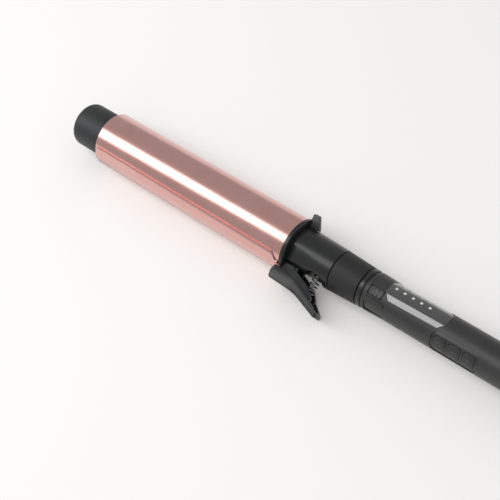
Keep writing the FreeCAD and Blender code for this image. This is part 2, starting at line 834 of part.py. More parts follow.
def socket_contacts():
    sleeves = []
    for y, z in contact_places():
        outer = rod(plug_end + moving_gap, socket_end + 2.0, contact_radius + 0.8, y, z)
        sleeves.append(outer.cut(rod(plug_end, socket_end - 0.2, contact_radius + running_gap, y, z)))
    return Part.makeCompound(sleeves)


def slider_ridge(x):
    return rounded_prism(x - 0.45, x + 0.45, slider_half_width - 0.2, 0.2, slider_angle)


def lock_slider():
    x0, x1 = slider_x, slider_x + slider_length
    crown = handle_radius + 0.6
    cap = rounded_prism(x0, x1, slider_half_width, 0.8, slider_angle)
    shape = cap.common(tube(x0, x1, crown, slider_floor + 0.15))
    middle = (x0 + x1) / 2
    for index in range(ridge_count):
        x = middle + (index - (ridge_count - 1) / 2) * ridge_pitch
        shape = shape.fuse(slider_ridge(x).common(tube(x0, x1, crown + 0.45, crown - 0.2)))
    stem = rounded_prism(x0 + 2.0, x0 + 6.0, 1.5, 0.4, slider_angle)
    shape = shape.fuse(stem.common(tube(x0, x1, slider_floor + 0.5, slider_flat + 0.3)))
    foot = rounded_prism(x0 + 1.8, x1 - 1.0, 2.6, 0.4, slider_angle)
    foot = foot.common(tube(x0, x1, handle_bore - 0.25, slider_flat + 0.35))
    return shape.fuse(foot)


def slider_spring():
    # Folded strip spring between the slider's foot and the front of the handle.
    folds = 4
    x0 = handle_start + 1.3
    x1 = slider_x + 1.8 - seat_gap / 2
    low, high = slider_flat + 0.15, handle_bore - 0.35
    step = (x1 - x0) / folds
    strip = block(x0, x0 + 0.3, -2.2, 2.2, low, high)
    for index in range(folds):
        start = x0 + index * step
        level = high - 0.3 if index % 2 else low
        strip = strip.fuse(block(start, start + step, -2.2, 2.2, level, level + 0.3))
        strip = strip.fuse(block(start + step - 0.3, start + step, -2.2, 2.2, low, high))
    return turned(strip, slider_angle)


def display_window():
    area = mitred_prism(window_x, window_x + window_length, window_half_width, window_corner, window_angle)
    shell = tube(window_x, window_x + window_length, handle_radius + 0.05, window_recess + fit_gap / 2)
    return area.common(shell)


board_thickness = 1.2
display_board_height = 6.6
display_board_half = 6.4
led_height = 1.0


def flat_plate(x0, x1, half_width, low, high, angle):
    return turned(block(x0, x1, -half_width, half_width, low, high), angle)


def display_board():
    x0 = socket_end + 1.6
    return flat_plate(x0, keypad_x + 0.7, display_board_half, display_board_height,
                      display_board_height + board_thickness, window_angle)


def led_places():
    return [handle_start + led_start + index * led_pitch for index in range(led_count)]


def display_leds():
    low = display_board_height + board_thickness
    half = led_size / 2
    leds = [flat_plate(x - half, x + half, half, low, low + led_height, window_angle) for x in led_places()]
    return Part.makeCompound(leds)


def light_guide():
    low = display_board_height + board_thickness + led_height + fit_gap
    x0, x1 = led_places()[0] - 1.6, led_places()[-1] + 1.6
    strip = flat_plate(x0, x1, 2.4, low, low + 0.8, window_angle)
    for x in led_places():
        pipe = upright_rod(x, 0, low, window_recess - fit_gap, 1.0)
        strip = strip.fuse(turned(pipe, window_angle))
    return strip


bezel_outer = keypad_floor + bezel_thickness - 0.55


def button_places():
    middle = keypad_x + keypad_length / 2
    return [middle - button_pitch, middle, middle + button_pitch]


def button_hole(x, grow):
    half = button_size / 2 + grow
    return rounded_prism(x - half, x + half, button_half_width + grow, 2.0, keypad_angle)


def keypad_bezel():
    margin = fit_gap
    area = rounded_prism(keypad_x + margin, keypad_x + keypad_length - margin, keypad_half_width - margin,
                         keypad_corner, keypad_angle)
    shape = area.common(tube(keypad_x, keypad_x + keypad_length, bezel_outer, keypad_floor + 0.02))
    inner = rounded_prism(keypad_x + 1.5, keypad_x + keypad_length - 1.5, keypad_half_width - 1.5,
                          keypad_corner - 1.1, keypad_angle)
    plate = inner.common(tube(keypad_x, keypad_x + keypad_length, keypad_floor + 0.05, handle_bore + 0.3))
    shape = shape.fuse(plate)
    for x in button_places():
        shape = shape.cut(button_hole(x, 0.25))
    return shape


switch_height = 1.8
plunger_height = 0.5
key_board_height = 5.9
switch_top = key_board_height + board_thickness + switch_height + plunger_height
button_foot = switch_top + button_travel + 0.15


def button(x):
    crown = handle_radius - 0.25
    cap = button_hole(x, 0.0).common(tube(x - 6, x + 6, crown, button_foot))
    flange = button_hole(x, 0.7).common(tube(x - 6, x + 6, handle_bore - 0.05, button_foot))
    return cap.fuse(flange)


def tact_switches():
    low = key_board_height + board_thickness
    switches = []
    for x in button_places():
        body = flat_plate(x - 2.6, x + 2.6, 2.6, low, low + switch_height, keypad_angle)
        plunger = turned(upright_rod(x, 0, low, low + switch_height + plunger_height, 1.2), keypad_angle)
        switches.append(body.fuse(plunger))
    return Part.makeCompound(switches)


def key_board():
    return flat_plate(keypad_x + 1.0, keypad_x + keypad_length - 1.0, 6.9, key_board_height,
                      key_board_height + board_thickness, keypad_angle)


power_board_x = keypad_x + 12.0
power_board_length = 60.0
power_board_y = -4.2


def power_board():
    return block(power_board_x, power_board_x + power_board_length, power_board_y - board_thickness,
                 power_board_y, -8.6, 8.6)


def filter_capacitor():
    radius = 4.6
    return rod(keypad_x + keypad_length + 5.0, keypad_x + keypad_length + 21.0, radius,
               power_board_y + radius + fit_gap, 0)


def power_switch_chip():
    low = power_board_y - board_thickness
    return block(power_board_x + 30.0, power_board_x + 40.0, low - 3.0 - fit_gap, low - fit_gap, -4.5, 4.5)


def terminal_block():
    x1 = power_board_x + power_board_length - 1.0
    body = block(x1 - 9.0, x1, power_board_y + fit_gap, power_board_y + 6.5, -5.5, 5.5)
    for z in (-2.6, 2.6):
        body = body.cut(upright_screw(x1 - 4.5, z))
    return body


def upright_screw(x, z):
    return cross_rod(x, z, power_board_y + 3.0, power_board_y + 7.0, 1.5)


def build_nodes():
    buttons = button_places()
    return {
        "tip_cap": tip_cap(),
        "tip_insulator": tip_insulator(),
        "tip_screw": tip_screw(),
        "barrel_tube": barrel_tube(),
        "heat_spreader_upper": heat_spreader(0),
        "heat_spreader_lower": heat_spreader(180),
        "heater_plate": heater_plate(),
        "heater_wrap": heater_wrap(),
        "heater_leads": heater_leads(),
        "thermistor": thermistor(),
        "thermal_fuse": thermal_fuse(),
        "base_insulator": base_insulator(),
        "base_screws": base_screws(),
        "stand_flange": stand_flange(),
        "hinge_housing": hinge_housing(),
        "hinge_pin": hinge_pin(),
        "clip_spring": clip_spring(),
        "coupling_sleeve": coupling_sleeve(),
        "head_plug": head_plug(),
        "plug_contacts": plug_contacts(),
        "plug_screws": plug_screws(),
        "clip_plate": clip_plate(),
        "thumb_lever": thumb_lever(),
        "clip_screws": clip_screws(),
        "front_ring": front_ring(),
        "handle_shell_plain": handle_shell_plain(),
        "handle_shell_controls": handle_shell_controls(),
        "handle_screws": handle_screws(),
        "end_cap": end_cap(),
        "swivel_gland": swivel_gland(),
        "swivel_washer": swivel_washer(),
        "socket_body": socket_body(),
        "socket_contacts": socket_contacts(),
        "lock_slider": lock_slider(),
        "slider_spring": slider_spring(),
        "display_window": display_window(),
        "display_board": display_board(),
        "display_leds": display_leds(),
        "light_guide": light_guide(),
        "keypad_bezel": keypad_bezel(),
        "power_button": button(buttons[0]),
        "cooler_button": button(buttons[1]),
        "hotter_button": button(buttons[2]),
        "tact_switches": tact_switches(),
        "key_board": key_board(),
        "power_board": power_board(),
        "filter_capacitor": filter_capacitor(),
        "power_switch_chip": power_switch_chip(),
        "terminal_block": terminal_block(),
    }


def resting_shift(shapes):
    # Moves the middle of the iron's box over the origin, with its lowest point on the table.
    box = Part.makeCompound(shapes).optimalBoundingBox(False, False)
    return vector(-box.Center.x, -box.Center.y, -box.ZMin)


def main():
    os.makedirs("parts", exist_ok=True)
    nodes = build_nodes()
    for shape in nodes.values():
        shape.rotate(origin, vector(1, 0, 0), rest_roll)
    shift = resting_shift(list(nodes.values()))
    for name, shape in nodes.items():
        shape.translate(shift)
        shape.exportStep("parts/" + name + ".step")
    return shift


main()
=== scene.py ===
import bpy, math
from mathutils import Vector, Matrix


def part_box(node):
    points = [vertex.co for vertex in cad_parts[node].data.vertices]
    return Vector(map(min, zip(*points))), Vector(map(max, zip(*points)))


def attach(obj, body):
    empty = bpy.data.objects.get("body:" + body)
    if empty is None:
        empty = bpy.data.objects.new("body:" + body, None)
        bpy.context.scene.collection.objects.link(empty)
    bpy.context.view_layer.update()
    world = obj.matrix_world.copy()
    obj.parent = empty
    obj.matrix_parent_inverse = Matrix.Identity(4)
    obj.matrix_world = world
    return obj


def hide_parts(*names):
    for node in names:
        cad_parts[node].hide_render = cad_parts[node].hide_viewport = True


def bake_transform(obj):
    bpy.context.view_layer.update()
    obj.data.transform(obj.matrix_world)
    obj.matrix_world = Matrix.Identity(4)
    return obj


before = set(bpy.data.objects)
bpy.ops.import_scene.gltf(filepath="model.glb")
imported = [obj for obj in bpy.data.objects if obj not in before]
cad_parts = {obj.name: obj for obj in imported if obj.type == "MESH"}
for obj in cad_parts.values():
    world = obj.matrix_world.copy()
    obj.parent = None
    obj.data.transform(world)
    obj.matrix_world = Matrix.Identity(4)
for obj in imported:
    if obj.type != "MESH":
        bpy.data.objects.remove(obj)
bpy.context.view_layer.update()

mm = 0.001

# The iron is worked on lying straight: x runs from tip to handle with 0 at the flange's front,
# y points to the controls, z to the clip. settle() rolls a finished mesh into its resting place.
ironRoll = 109.0
barrelLow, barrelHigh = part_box("barrel_tube")
ironStart = Vector((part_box("stand_flange")[0].x, (barrelLow.y + barrelHigh.y) / 2,
                    (barrelLow.z + barrelHigh.z) / 2))
ironPlace = Matrix.Translation(ironStart) @ Matrix.Rotation(math.radians(ironRoll), 4, "X")


def alongX(node):
    # first and last x of a part, counted from the flange's front
    low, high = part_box(node)
    return low.x - ironStart.x, high.x - ironStart.x


def deselectAll():
    for obj in bpy.context.selected_objects:
        obj.select_set(False)


def pick(piece):
    deselectAll()
    piece.select_set(True)
    bpy.context.view_layer.objects.active = piece


def newPiece(name):
    piece = bpy.context.active_object
    piece.name = name
    piece.data.name = name
    return piece


def bakePlace(piece):
    pick(piece)
    bpy.ops.object.transform_apply(location=True, rotation=True, scale=True)


def settle(piece, angle=0.0):
    # angle turns it about the iron, 0 at the clip and 90 at the controls
    bakePlace(piece)
    piece.data.transform(ironPlace @ Matrix.Rotation(math.radians(-angle), 4, "X"))
    piece.data.update()


def finish(piece, body, material, smooth=35.0, stands=()):
    piece.data.materials.clear()
    piece.data.materials.append(material)
    pick(piece)
    bpy.ops.object.shade_smooth_by_angle(angle=math.radians(smooth))
    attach(piece, body)
    if stands:
        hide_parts(*stands)


def bevelEdges(piece, width, segments=3, angle=40.0):
    pick(piece)
    mod = piece.modifiers.new("edge", "BEVEL")
    mod.width = width
    mod.segments = segments
    mod.limit_method = "ANGLE"
    mod.angle_limit = math.radians(angle)
    bpy.ops.object.modifier_apply(modifier=mod.name)


def pickFaces(piece, test):
    # leaves the piece in edit mode with the faces that pass the test selected
    pick(piece)
    bpy.ops.object.mode_set(mode="EDIT")
    bpy.ops.mesh.select_all(action="DESELECT")
    bpy.ops.mesh.select_mode(type="FACE")
    bpy.ops.object.mode_set(mode="OBJECT")
    for face in piece.data.polygons:
        face.select = bool(test(face))
    bpy.ops.object.mode_set(mode="EDIT")


def leaveEdit():
    bpy.ops.object.mode_set(mode="OBJECT")


def pickRims():
    # selects the open edges of the mesh being edited
    bpy.ops.mesh.select_mode(type="EDGE")
    bpy.ops.mesh.select_all(action="DESELECT")
    bpy.ops.mesh.select_non_manifold(extend=False, use_wire=False, use_boundary=True,
                                     use_multi_face=False, use_non_contiguous=False, use_verts=False)


# materials

def tint(code):
    # sRGB hex to linear
    out = []
    for i in (1, 3, 5):
        c = int(code[i:i + 2], 16) / 255
        out.append(c / 12.92 if c <= 0.04045 else ((c + 0.055) / 1.055) ** 2.4)
    return (out[0], out[1], out[2], 1.0)


def addNode(tree, kind, settings=None, inputs=None):
    # inputs are plain values or (node, output) pairs
    node = tree.nodes.new(kind)
    for key, value in (settings or {}).items():
        setattr(node, key, value)
    for key, value in (inputs or {}).items():
        if isinstance(value, tuple) and hasattr(value[0], "outputs"):
            tree.links.new(value[0].outputs[value[1]], node.inputs[key])
        else:
            node.inputs[key].default_value = value
    return node


def startMaterial(name, values):
    material = bpy.data.materials.new(name)
    material.use_nodes = True
    tree = material.node_tree
    shader = tree.nodes["Principled BSDF"]
    for key, value in values.items():
        shader.inputs[key].default_value = value
    return material, tree, shader


def grainMaterial(name, dark, light, rough, roughSpread, grain, depth, extra=None, patch=18.0):
    # moulded or coated surface: a slow tone change, uneven gloss and a fine grain, sizes in mm
    values = {"Roughness": rough}
    values.update(extra or {})
    material, tree, shader = startMaterial(name, values)
    place = addNode(tree, "ShaderNodeTexCoord")
    slow = addNode(tree, "ShaderNodeTexNoise", {}, {
        "Vector": (place, "Object"), "Scale": 1 / (patch * mm), "Detail": 4.0, "Roughness": 0.6})
    fine = addNode(tree, "ShaderNodeTexNoise", {}, {
        "Vector": (place, "Object"), "Scale": 1 / (grain * mm), "Detail": 3.0, "Roughness": 0.7})
    both = addNode(tree, "ShaderNodeMath", {"operation": "MULTIPLY_ADD"}, {
        0: (fine, "Fac"), 1: 0.4, 2: (slow, "Fac")})
    ramp = addNode(tree, "ShaderNodeValToRGB", {}, {"Fac": (both, "Value")})
    ramp.color_ramp.elements[0].position = 0.5
    ramp.color_ramp.elements[0].color = tint(dark)
    ramp.color_ramp.elements[1].position = 0.9
    ramp.color_ramp.elements[1].color = tint(light)
    tree.links.new(ramp.outputs["Color"], shader.inputs["Base Color"])
    gloss = addNode(tree, "ShaderNodeMapRange", {}, {
        "Value": (fine, "Fac"), "From Min": 0.3, "From Max": 0.7,
        "To Min": rough - roughSpread, "To Max": rough + roughSpread})
    tree.links.new(gloss.outputs["Result"], shader.inputs["Roughness"])
    bump = addNode(tree, "ShaderNodeBump", {}, {
        "Height": (fine, "Fac"), "Strength": 1.0, "Distance": depth * mm})
    tree.links.new(bump.outputs["Normal"], shader.inputs["Normal"])
    return material


def polishedMaterial(name, dark, light, rough, lineSpacing, depth, extra=None):
    # metal polished on a lathe or drawn: very fine lines round or along it, sizes in mm
    values = {"Metallic": 1.0, "Roughness": rough}
    values.update(extra or {})
    material, tree, shader = startMaterial(name, values)
    place = addNode(tree, "ShaderNodeTexCoord")
    stretch = addNode(tree, "ShaderNodeMapping", {}, {
        "Vector": (place, "Object"), "Scale": (0.03, 1.0, 1.0)})
    lines = addNode(tree, "ShaderNodeTexNoise", {}, {
        "Vector": (stretch, "Vector"), "Scale": 1 / (lineSpacing * mm), "Detail": 2.0,
        "Roughness": 0.5})
    cloud = addNode(tree, "ShaderNodeTexNoise", {}, {
        "Vector": (place, "Object"), "Scale": 1 / (14 * mm), "Detail": 5.0, "Roughness": 0.65})
    ramp = addNode(tree, "ShaderNodeValToRGB", {}, {"Fac": (cloud, "Fac")})
    ramp.color_ramp.elements[0].position = 0.3
    ramp.color_ramp.elements[0].color = tint(dark)
    ramp.color_ramp.elements[1].position = 0.7
    ramp.color_ramp.elements[1].color = tint(light)
    tree.links.new(ramp.outputs["Color"], shader.inputs["Base Color"])
    gloss = addNode(tree, "ShaderNodeMapRange", {}, {
        "Value": (lines, "Fac"), "From Min": 0.3, "From Max": 0.7,
        "To Min": rough * 0.85, "To Max": rough * 1.2})
    tree.links.new(gloss.outputs["Result"], shader.inputs["Roughness"])
    bump = addNode(tree, "ShaderNodeBump", {}, {
        "Height": (lines, "Fac"), "Strength": 1.0, "Distance": depth * mm})
    tree.links.new(bump.outputs["Normal"], shader.inputs["Normal"])
    return material


# rose-gold titanium coat over polished aluminium: warm pink mirror softened into a satin band
roseGold = polishedMaterial("coatedAluminiumRoseGold", "#d9a8a2", "#deb0aa", 0.2, 0.5, 0.0015)
# glass-filled nylon from a spark-eroded mould: charcoal with a dull, slightly grainy sheen
tipNylon = grainMaterial("mouldedNylonCharcoal", "#232526", "#2d2f30", 0.5, 0.05, 0.45, 0.012)
housingNylon = grainMaterial("mouldedNylonHousing", "#181919", "#212222", 0.3, 0.04, 0.5, 0.005)
leverNylon = grainMaterial("mouldedNylonLever", "#1b1c1d", "#252628", 0.32, 0.04, 0.5, 0.005)
# the sleeve's mould is coarser, so it shows almost no highlight
sleeveNylon = grainMaterial("mouldedNylonSleeve", "#191919", "#212121", 0.6, 0.05, 0.4, 0.014)
ringAbs = grainMaterial("polishedAbsRing", "#1f1f1f", "#272727", 0.24, 0.03, 0.7, 0.002)
# ABS with a thin rubbery lacquer: dark grey, broad soft highlight
handleLacquer = grainMaterial("softTouchLacquer", "#2b2b2b", "#353535", 0.42, 0.05, 0.5, 0.008)
sliderAbs = grainMaterial("mouldedAbsSlider", "#2e2e2e", "#383838", 0.34, 0.05, 0.5, 0.008)
bezelAbs = grainMaterial("mouldedAbsBezel", "#2b2b2b", "#343434", 0.34, 0.05, 0.5, 0.008)
buttonRubber = grainMaterial("mouldedSiliconeButton", "#292929", "#323232", 0.46, 0.05, 0.5, 0.008)
capAbs = grainMaterial("mouldedAbsCap", "#333333", "#3c3c3c", 0.42, 0.05, 0.5, 0.01)
glandRubber = grainMaterial("mouldedPvcGland", "#242424", "#2c2c2c", 0.5, 0.05, 0.5, 0.012)
# smoked acrylic with a hard coat: near black, mirror-sharp reflection
lensAcrylic = grainMaterial("smokedAcrylic", "#141415", "#1a1a1b", 0.08, 0.012, 2.0, 0.0004,
                            {"Coat Weight": 1.0, "Coat Roughness": 0.03, "Coat IOR": 1.8,
                             "Specular IOR Level": 1.0})
insulatorPlastic = grainMaterial("mouldedPpsInsulator", "#2a2826", "#34312e", 0.6, 0.05, 0.5, 0.015)
switchPlastic = grainMaterial("mouldedSwitchPlastic", "#222222", "#2b2b2b", 0.55, 0.05, 0.4, 0.01)
chipEpoxy = grainMaterial("mouldedEpoxyChip", "#1c1c1c", "#242424", 0.6, 0.05, 0.2, 0.01)
terminalPa = grainMaterial("mouldedGreenPolyamide", "#2d7a45", "#368650", 0.42, 0.05, 0.6, 0.008)
solderMask = grainMaterial("solderMaskGreen", "#123f22", "#1a4f2c", 0.35, 0.06, 0.8, 0.02, None, 3.0)
heaterCeramic = grainMaterial("firedAlumina", "#d6d1c4", "#e2ddd1", 0.65, 0.05, 0.3, 0.01)
heaterFilm = grainMaterial("polyimideFilm", "#a8620f", "#bb7519", 0.25, 0.05, 1.5, 0.01)
glassSleeve = grainMaterial("wovenGlassSleeve", "#c9c2b2", "#dcd6c8", 0.7, 0.05, 0.35, 0.05, None, 1.2)
beadGlass = grainMaterial("glassBead", "#5a3418", "#6b4020", 0.12, 0.03, 1.0, 0.002)
capacitorFilm = grainMaterial("shrunkSleeveBlue", "#1c2c5c", "#24366c", 0.28, 0.04, 1.2, 0.006)
# milky diffuser cap of a small light, unlit but bright
lightCap = grainMaterial("diffuserAcrylic", "#dcdcda", "#f2f1ef", 0.35, 0.04, 0.4, 0.003)
printInk = grainMaterial("paddedInkGrey", "#8a8a8a", "#9c9c9c", 0.55, 0.04, 0.3, 0.002)
# raised symbols on the buttons: only a little lighter than the rubber
symbolInk = grainMaterial("paddedInkDark", "#484848", "#545454", 0.5, 0.04, 0.3, 0.002)
steel = polishedMaterial("turnedSteel", "#9c9c9e", "#b0b0b2", 0.3, 0.25, 0.002)
springSteel = polishedMaterial("drawnSpringSteel", "#8d8d90", "#a5a5a8", 0.26, 0.15, 0.002)
tinnedMetal = polishedMaterial("tinnedCopper", "#b4b4b2", "#c6c6c4", 0.35, 0.2, 0.002)
aluminium = polishedMaterial("extrudedAluminium", "#b2b3b6", "#c4c5c8", 0.38, 0.6, 0.006)
brass = polishedMaterial("turnedBrass", "#c9a45a", "#d8b56c", 0.26, 0.2, 0.002)
blackSteel = grainMaterial("blackOxideSteel", "#1e1e1f", "#28282a", 0.36, 0.05, 0.3, 0.004)
print("materials made")

nodeFinishes = {
    "tip_cap": tipNylon, "tip_insulator": insulatorPlastic, "tip_screw": steel,
    "barrel_tube": roseGold, "heat_spreader_upper": aluminium, "heat_spreader_lower": aluminium,
    "heater_plate": heaterCeramic, "heater_wrap": heaterFilm, "heater_leads": glassSleeve,
    "thermistor": beadGlass, "thermal_fuse": tinnedMetal, "base_insulator": insulatorPlastic,
    "base_screws": steel, "stand_flange": housingNylon, "hinge_housing": housingNylon,
    "hinge_pin": blackSteel, "clip_spring": springSteel, "coupling_sleeve": sleeveNylon,
    "head_plug": insulatorPlastic, "plug_contacts": brass, "plug_screws": steel,
    "clip_plate": roseGold, "thumb_lever": leverNylon, "clip_screws": steel,
    "front_ring": ringAbs, "handle_shell_plain": handleLacquer, "handle_shell_controls": handleLacquer,
    "handle_screws": blackSteel, "end_cap": capAbs, "swivel_gland": glandRubber,
    "swivel_washer": steel, "socket_body": insulatorPlastic, "socket_contacts": brass,
    "lock_slider": sliderAbs, "slider_spring": springSteel, "display_window": lensAcrylic,
    "display_board": solderMask, "display_leds": lightCap, "light_guide": lightCap,
    "keypad_bezel": bezelAbs, "power_button": buttonRubber, "cooler_button": buttonRubber,
    "hotter_button": buttonRubber, "tact_switches": switchPlastic, "key_board": solderMask,
    "power_board": solderMask, "filter_capacitor": capacitorFilm, "power_switch_chip": chipEpoxy,
    "terminal_block": terminalPa,
}
for node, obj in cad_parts.items():
    for materialSlot in obj.material_slots:
        materialSlot.material = nodeFinishes[node]



def addRod(name, segments, radius, length, middle):
    # round bar along x, sizes in mm
    bpy.ops.mesh.primitive_cylinder_add(vertices=segments, radius=radius * mm, depth=length * mm,
                                        location=(middle * mm, 0, 0), rotation=(0, math.pi / 2, 0))
    rod = newPiece(name)
    bakePlace(rod)
    return rod


# barrel: long tube, rolled edges

barrel = {"radius": 19.0, "wall": 1.2, "front": alongX("barrel_tube")[0] / mm,
          "rear": alongX("barrel_tube")[1] / mm, "segments": 192, "edge": 0.5}


def makeBarrel(b):
    length = b["rear"] - b["front"]
    piece = addRod("barrelShell", b["segments"], b["radius"], length, (b["front"] + b["rear"]) / 2)
    pickFaces(piece, lambda face: abs(face.normal.x) > 0.9)
    bpy.ops.mesh.inset(thickness=b["wall"] * mm)
    bpy.ops.mesh.delete(type="FACE")
    pickRims()
    bpy.ops.mesh.bridge_edge_loops()
    bpy.ops.mesh.select_all(action="SELECT")
    bpy.ops.mesh.normals_make_consistent(inside=False)
    leaveEdit()
    bevelEdges(piece, b["edge"] * mm, 4, 60)
    settle(piece)
    finish(piece, "barrel_unit", roseGold, 40, ["barrel_tube"])


makeBarrel(barrel)

# cool tip: cup with a well-rounded front

tip = {"radius": 16.0, "front": alongX("tip_cap")[0] / mm, "rear": alongX("tip_cap")[1] / mm,
       "round": 5.0, "wall": 2.0, "frontWall": 5.0, "segments": 128, "rearEdge": 0.4}


def makeTip(t):
    length = t["rear"] - t["front"]
    piece = addRod("coolTip", t["segments"], t["radius"], length, (t["front"] + t["rear"]) / 2)
    pickFaces(piece, lambda face: face.normal.x < -0.9)
    bpy.ops.mesh.bevel(offset=t["round"] * mm, segments=12, profile=0.5)
    leaveEdit()
    pickFaces(piece, lambda face: face.normal.x > 0.9)
    bpy.ops.mesh.bevel(offset=t["rearEdge"] * mm, segments=2, profile=0.5)
    leaveEdit()
    pickFaces(piece, lambda face: face.normal.x > 0.9)
    bpy.ops.mesh.inset(thickness=(t["wall"] - t["rearEdge"]) * mm)
    depth = length - t["frontWall"]
    bpy.ops.mesh.extrude_region_move(TRANSFORM_OT_translate={"value": (-depth * mm, 0, 0)})
    leaveEdit()
    settle(piece)
    finish(piece, "barrel_unit", tipNylon, 40, ["tip_cap"])


makeTip(tip)
print("barrel and tip made")

# moulded and pressed parts keep their shape and get small rounded edges

softEdges = {
    "clip_plate": ("clipPlate", "clip", "rose_gold_coat", 0.22),
    "thumb_lever": ("thumbLever", "clip", "lever_plastic", 0.45),
    "stand_flange": ("standFlange", "barrel_unit", "housing_plastic", 0.3),
    "hinge_housing": ("hingeHousing", "barrel_unit", "housing_plastic", 0.35),
    "display_window": ("displayLens", "handle", "window_plastic", 0.12),
    "keypad_bezel": ("keypadBezel", "handle", "bezel_plastic", 0.12),
    "lock_slider": ("lockSlider", "lock_slider", "slider_plastic", 0.15),
    "power_button": ("powerButton", "power_button", "button_plastic", 0.2),
    "cooler_button": ("coolerButton", "cooler_button", "button_plastic", 0.2),
    "hotter_button": ("hotterButton", "hotter_button", "button_plastic", 0.2),
}


def softenNode(node, name, body, width):
    piece = bpy.data.objects.new(name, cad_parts[node].data.copy())
    bpy.context.scene.collection.objects.link(piece)
    pick(piece)
    bpy.ops.object.mode_set(mode="EDIT")
    bpy.ops.mesh.select_all(action="SELECT")
    bpy.ops.mesh.remove_doubles(threshold=0.002 * mm)
    bpy.ops.mesh.customdata_custom_splitnormals_clear()
    bpy.ops.mesh.dissolve_limited(angle_limit=math.radians(0.5), delimit={"NORMAL"})
    bpy.ops.mesh.normals_make_consistent(inside=False)
    leaveEdit()
    bevelEdges(piece, width * mm, 2, 38)
    finish(piece, body, nodeFinishes[node], 38, [node])


for node, (name, body, slot, width) in softEdges.items():
    softenNode(node, name, body, width)
print("edges softened")

# clip spring: round wire wound between the housing and the lever

spring = {"x": 25.0, "foot": 9.7, "radius": 2.9, "wire": 0.45, "turns": 7, "sides": 12, "steps": 28}


def makeSpring(s):
    top = s["top"]
    bpy.ops.mesh.primitive_circle_add(vertices=s["sides"], radius=s["wire"] * mm,
                                      location=(s["radius"] * mm, 0, 0), rotation=(math.pi / 2, 0, 0))
    piece = newPiece("clipSpring")
    bakePlace(piece)
    screw = piece.modifiers.new("wind", "SCREW")
    screw.axis = "Z"
    screw.angle = 2 * math.pi
    screw.screw_offset = (top - s["foot"] - 2 * s["wire"]) / s["turns"] * mm
    screw.iterations = s["turns"]
    screw.steps = s["steps"]
    screw.render_steps = s["steps"]
    pick(piece)
    bpy.ops.object.modifier_apply(modifier=screw.name)
    bpy.ops.object.mode_set(mode="EDIT")
    bpy.ops.mesh.select_all(action="SELECT")
    bpy.ops.mesh.remove_doubles(threshold=0.001 * mm)
    pickRims()
    bpy.ops.mesh.fill_holes(sides=0)
    bpy.ops.mesh.select_all(action="SELECT")
    bpy.ops.mesh.normals_make_consistent(inside=False)
    leaveEdit()
    piece.location = (s["x"] * mm, 0, (s["foot"] + s["wire"]) * mm)
    settle(piece)
    piece.data.materials.clear()
    piece.data.materials.append(springSteel)
    pick(piece)
    bpy.ops.object.shade_smooth_by_angle(angle=math.radians(50))
    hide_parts("clip_spring")
    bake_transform(piece)


def springTop():
    # the spring's far end, read from its part along the clip's direction
    toClip = ironPlace.to_3x3() @ Vector((0, 0, 1))
    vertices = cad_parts["clip_spring"].data.vertices
    return max((vertex.co - ironStart).dot(toClip) for vertex in vertices) / mm


spring["top"] = springTop()
makeSpring(spring)
print("spring wound")

# small lights and numerals on the lens, symbols on the buttons

handleRadius = 12.7
lights = {"angle": 128.6, "first": 78.6, "pitch": 6.2, "count": 5, "radius": 0.95, "depth": 0.4,
          "sunk": 0.13, "edge": 0.08, "marks": ("130", "150", "170", "190", "210"),
          "markAngle": 148.0, "markSize": 2.3, "markLift": 0.07, "markThick": 0.02}


def makeLight(index, l):
    x = l["first"] + index * l["pitch"]
    bpy.ops.mesh.primitive_cylinder_add(vertices=24, radius=l["radius"] * mm, depth=l["depth"] * mm,
                                        location=(x * mm, 0, (handleRadius - l["sunk"]) * mm))
    piece = newPiece("indicator%d" % (index + 1))
    bakePlace(piece)
    bevelEdges(piece, l["edge"] * mm, 2, 40)
    settle(piece, l["angle"])
    finish(piece, "handle", lightCap, 40)


def wrapOnHandle(piece, radius, angle):
    # lays a flat mark, drawn in x and y, onto the round of the handle
    bakePlace(piece)
    for vertex in piece.data.vertices:
        turn = vertex.co.y / (radius * mm)
        height = radius * mm + vertex.co.z
        vertex.co = Vector((vertex.co.x, height * math.sin(turn), height * math.cos(turn)))
    settle(piece, angle)


def makeMark(index, l):
    x = l["first"] + index * l["pitch"]
    bpy.ops.object.text_add(location=(0, 0, 0))
    text = bpy.context.active_object
    text.data.body = l["marks"][index]
    text.data.size = l["markSize"] * mm
    text.data.align_x = "CENTER"
    text.data.align_y = "CENTER"
    text.data.extrude = l["markThick"] * mm
    pick(text)
    bpy.ops.object.convert(target="MESH")
    piece = newPiece("scaleMark%d" % (index + 1))
    piece.location = (x * mm, 0, 0)
    wrapOnHandle(piece, handleRadius + l["markLift"], l["markAngle"])
    finish(piece, "handle", printInk, 40)


for index in range(lights["count"]):
    makeLight(index, lights)
    makeMark(index, lights)
print("display marked")

# keypad symbols, raised a little from each button

keypad = {"angle": 47.5, "middle": 129.8, "pitch": 10.4, "crown": handleRadius - 0.25,
          "line": 0.5, "size": 3.4, "thick": 0.16, "lift": 0.02}


def makeBar(name, x, along, across, thick):
    bpy.ops.mesh.primitive_cube_add(size=1, location=(x * mm, 0, 0))
    bar = newPiece(name)
    bar.scale = (along * mm, across * mm, thick * mm)
    bakePlace(bar)
    bpy.ops.object.mode_set(mode="EDIT")
    bpy.ops.mesh.select_all(action="SELECT")
    bpy.ops.mesh.subdivide(number_cuts=4)
    leaveEdit()
    return bar


